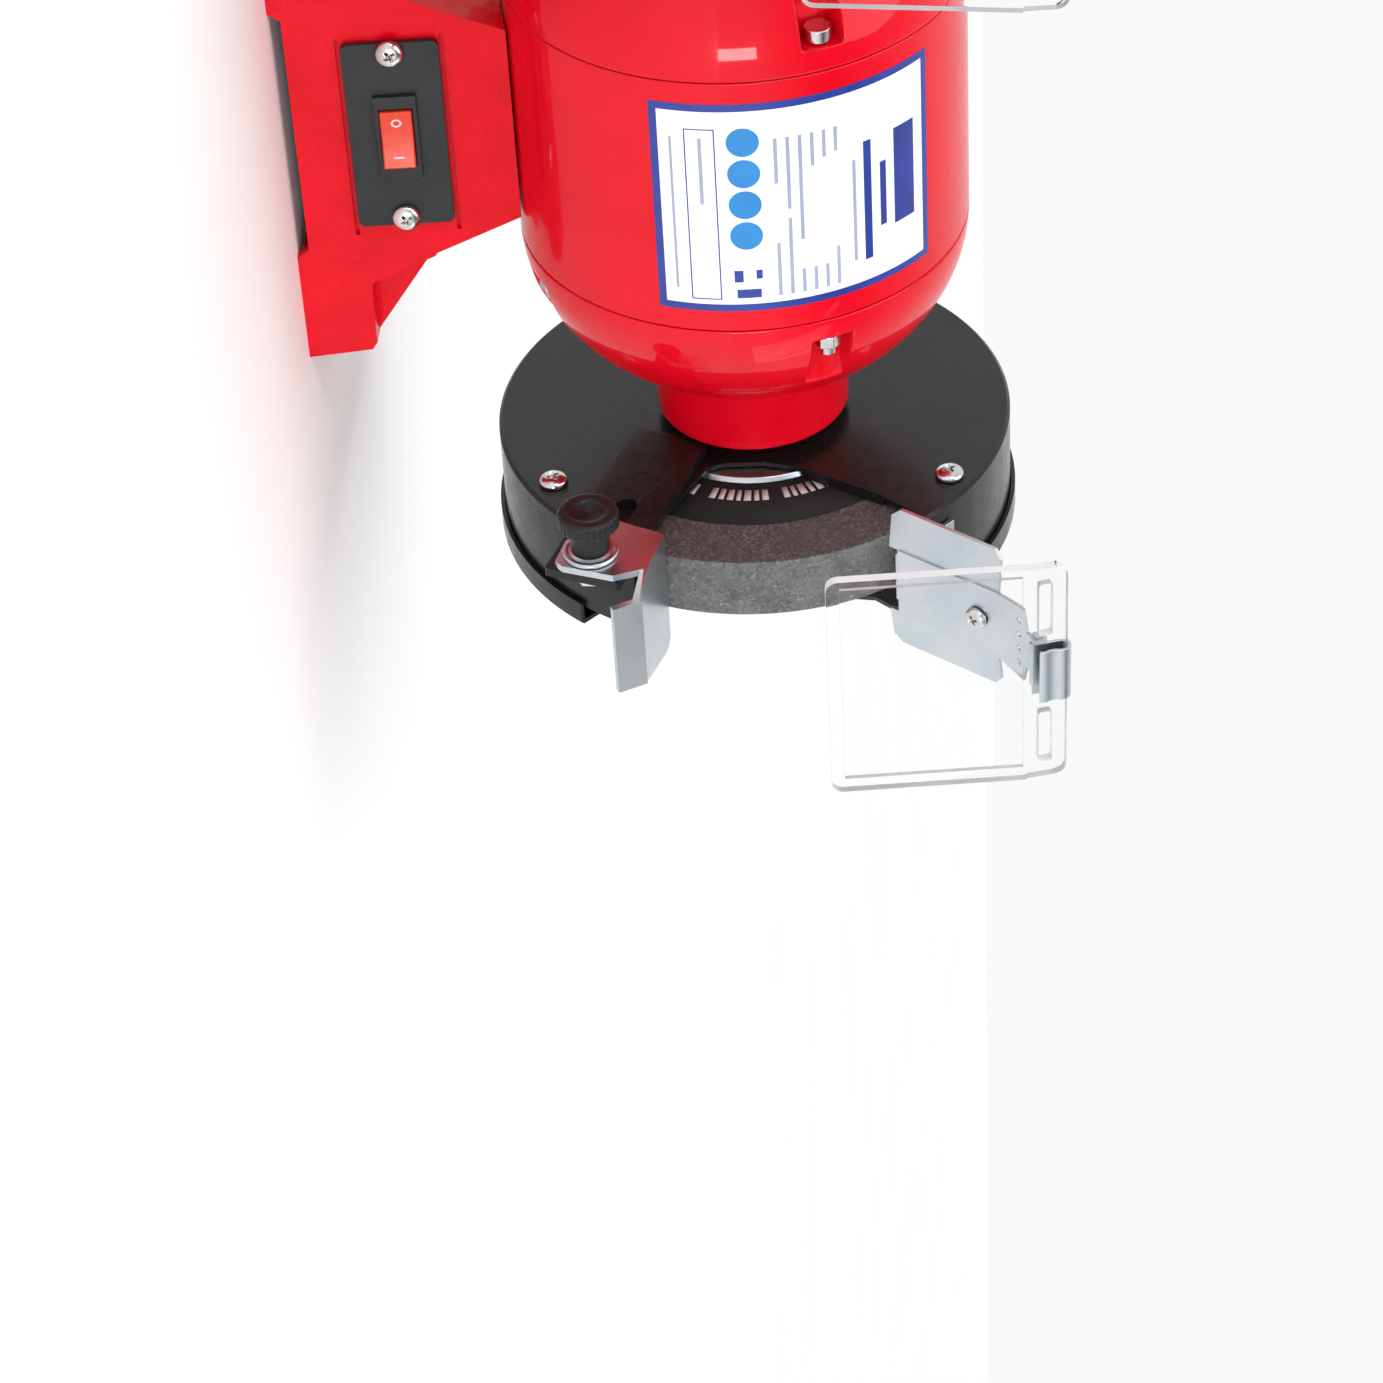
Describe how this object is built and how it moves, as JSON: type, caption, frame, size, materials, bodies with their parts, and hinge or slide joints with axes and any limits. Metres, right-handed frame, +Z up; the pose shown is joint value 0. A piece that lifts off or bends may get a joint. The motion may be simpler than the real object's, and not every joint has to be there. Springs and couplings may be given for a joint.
{
  "type": "bench grinder",
  "caption": "Double-ended bench grinder: motor on a cast base with a rocker switch, and a guarded grinding wheel, tool rest, spark deflector and clear eye shield at each end.",
  "frame": {"origin": "centre of the overall bounding box in X and Y, at the bench surface under the feet", "axes": "+Z up, X along the shaft, -Y towards the operator"},
  "size_m": [0.3424, 0.2034, 0.2303],
  "materials": {
    "gloss_red": "smooth gloss red enamel",
    "gloss_red_alloy": "smooth gloss red enamel over an aluminium casting",
    "cast_red": "gloss red enamel over a slightly rough aluminium casting",
    "satin_black": "satin black paint on pressed steel",
    "black_plastic": "moulded black plastic",
    "zinc": "bright zinc plate with a faint blue cast",
    "steel": "plain turned steel",
    "lamination": "stacked electrical steel sheet",
    "copper": "varnished copper wire",
    "abrasive": "grey vitrified aluminium oxide grit",
    "clear_plastic": "clear polycarbonate",
    "rocker_red": "orange-red translucent plastic",
    "capacitor_can": "drawn aluminium can",
    "rubber": "soft black rubber"
  },
  "bodies": {
    "root": {"motor_shell": "gloss_red", "base_casting": "cast_red", "base_cover": "zinc", "switch_plate": "black_plastic", "switch_housing": "black_plastic", "capacitor": "capacitor_can", "cable_gland": "rubber", "stator_core": "lamination", "stator_winding": "copper", "through_bolt_1": "steel", "through_bolt_2": "steel", "through_bolt_3": "steel", "through_bolt_4": "steel", "right_plate_screw": "steel", "right_bell": "gloss_red_alloy", "right_bearing": "steel", "right_guard_drum": "satin_black", "right_guard_cover": "satin_black", "right_upper_guard_screw": "zinc", "right_lower_guard_screw": "zinc", "right_rest_arm": "satin_black", "right_shield_support": "zinc", "right_support_screw": "zinc", "left_plate_screw": "steel", "left_bell": "gloss_red_alloy", "left_bearing": "steel", "left_guard_drum": "satin_black", "left_guard_cover": "satin_black", "left_upper_guard_screw": "zinc", "left_lower_guard_screw": "zinc", "left_rest_arm": "satin_black", "left_shield_support": "zinc", "left_support_screw": "zinc"},
    "rotor": {"drive_shaft": "steel", "rotor_core": "lamination", "right_grinding_wheel": "abrasive", "right_inner_flange": "zinc", "right_outer_flange": "zinc", "right_spindle_nut": "steel", "left_grinding_wheel": "abrasive", "left_inner_flange": "zinc", "left_outer_flange": "zinc", "left_spindle_nut": "steel"},
    "rocker": {"switch_rocker": "rocker_red"},
    "right_rest_slider": {"right_rest_bolt": "steel", "right_rest_washer": "zinc"},
    "right_rest_table": {"right_tool_rest": "zinc"},
    "right_knob": {"right_rest_knob": "black_plastic"},
    "right_deflector": {"right_spark_deflector": "zinc", "right_deflector_screw": "zinc"},
    "right_shield": {"right_eye_shield": "clear_plastic", "right_shield_clamp": "zinc"},
    "left_rest_slider": {"left_rest_bolt": "steel", "left_rest_washer": "zinc"},
    "left_rest_table": {"left_tool_rest": "zinc"},
    "left_knob": {"left_rest_knob": "black_plastic"},
    "left_deflector": {"left_spark_deflector": "zinc", "left_deflector_screw": "zinc"},
    "left_shield": {"left_eye_shield": "clear_plastic", "left_shield_clamp": "zinc"}
  },
  "joints": [
    {"name": "shaft_spin", "type": "hinge", "parent": "root", "child": "rotor", "pos_m": [0, 0.0203, 0.1325], "axis": [1, 0, 0], "continuous": true},
    {"name": "rocker_tilt", "type": "hinge", "parent": "root", "child": "rocker", "pos_m": [-0.00035, -0.00662, 0.03413], "axis": [0, 0.0872, 0.9962], "range_deg": [0, 16]},
    {"name": "right_rest_slide", "type": "slide", "parent": "root", "child": "right_rest_slider", "axis": [0, -0.9483, -0.3173], "range_m": [-0.0005, 0.003]},
    {"name": "right_rest_tilt", "type": "hinge", "parent": "right_rest_slider", "child": "right_rest_table", "pos_m": [0.1123, -0.0617, 0.0875], "axis": [1, 0, 0], "range_deg": [-2, 30]},
    {"name": "right_knob_turn", "type": "hinge", "parent": "right_rest_slider", "child": "right_knob", "pos_m": [0.103, -0.0617, 0.0875], "axis": [-1, 0, 0], "range_deg": [0, 360]},
    {"name": "right_deflector_slide", "type": "slide", "parent": "root", "child": "right_deflector", "axis": [0, -0.5678, 0.8231], "range_m": [-0.004, 0.005]},
    {"name": "right_shield_tilt", "type": "hinge", "parent": "right_deflector", "child": "right_shield", "pos_m": [0.1315, -0.0873, 0.2199], "axis": [1, 0, 0], "range_deg": [-70, 15]},
    {"name": "left_rest_slide", "type": "slide", "parent": "root", "child": "left_rest_slider", "axis": [0, -0.9483, -0.3173], "range_m": [-0.0005, 0.003]},
    {"name": "left_rest_tilt", "type": "hinge", "parent": "left_rest_slider", "child": "left_rest_table", "pos_m": [-0.1123, -0.0617, 0.0875], "axis": [1, 0, 0], "range_deg": [-2, 30]},
    {"name": "left_knob_turn", "type": "hinge", "parent": "left_rest_slider", "child": "left_knob", "pos_m": [-0.103, -0.0617, 0.0875], "axis": [1, 0, 0], "range_deg": [0, 360]},
    {"name": "left_deflector_slide", "type": "slide", "parent": "root", "child": "left_deflector", "axis": [0, -0.5678, 0.8231], "range_m": [-0.004, 0.005]},
    {"name": "left_shield_tilt", "type": "hinge", "parent": "left_deflector", "child": "left_shield", "pos_m": [-0.1315, -0.0873, 0.2199], "axis": [1, 0, 0], "range_deg": [-80, 5]}
  ]
}
